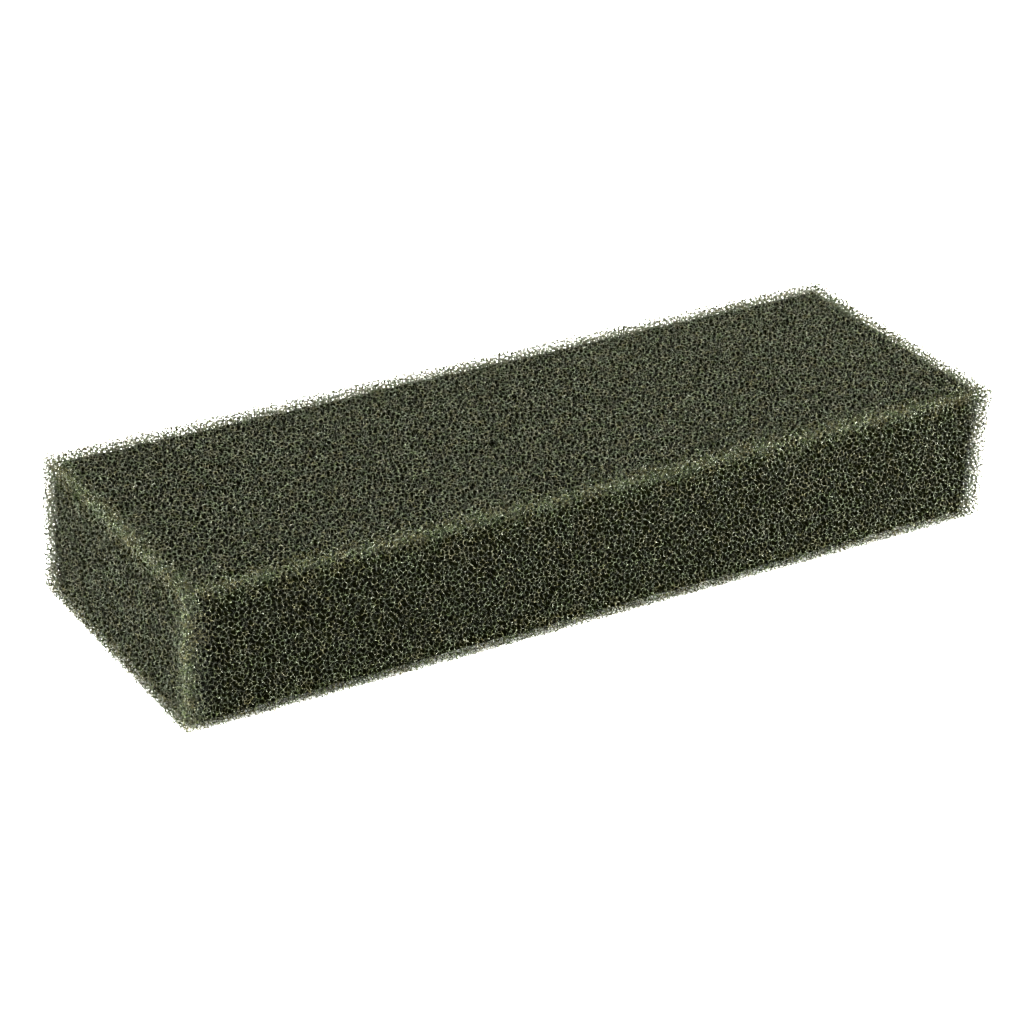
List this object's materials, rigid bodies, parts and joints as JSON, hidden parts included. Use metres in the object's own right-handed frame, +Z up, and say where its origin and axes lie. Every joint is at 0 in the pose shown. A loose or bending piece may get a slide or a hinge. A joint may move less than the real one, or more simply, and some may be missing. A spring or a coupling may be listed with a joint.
{
  "type": "open-cell foam brick",
  "caption": "Flat rectangular brick of coarse open-cell foam, cut square on every side, that rests on its widest face.",
  "frame": {"origin": "centre of the bottom face, which is the bounding box's bottom centre", "axes": "+X along the brick's length, +Y across its width, +Z up through its thickness"},
  "size_m": [0.15, 0.05, 0.024],
  "materials": {
    "foam": "dark olive-grey polyurethane foam, an open net of fine satin struts round near-black pores"
  },
  "bodies": {
    "root": {"foam_brick": "foam"}
  },
  "joints": []
}
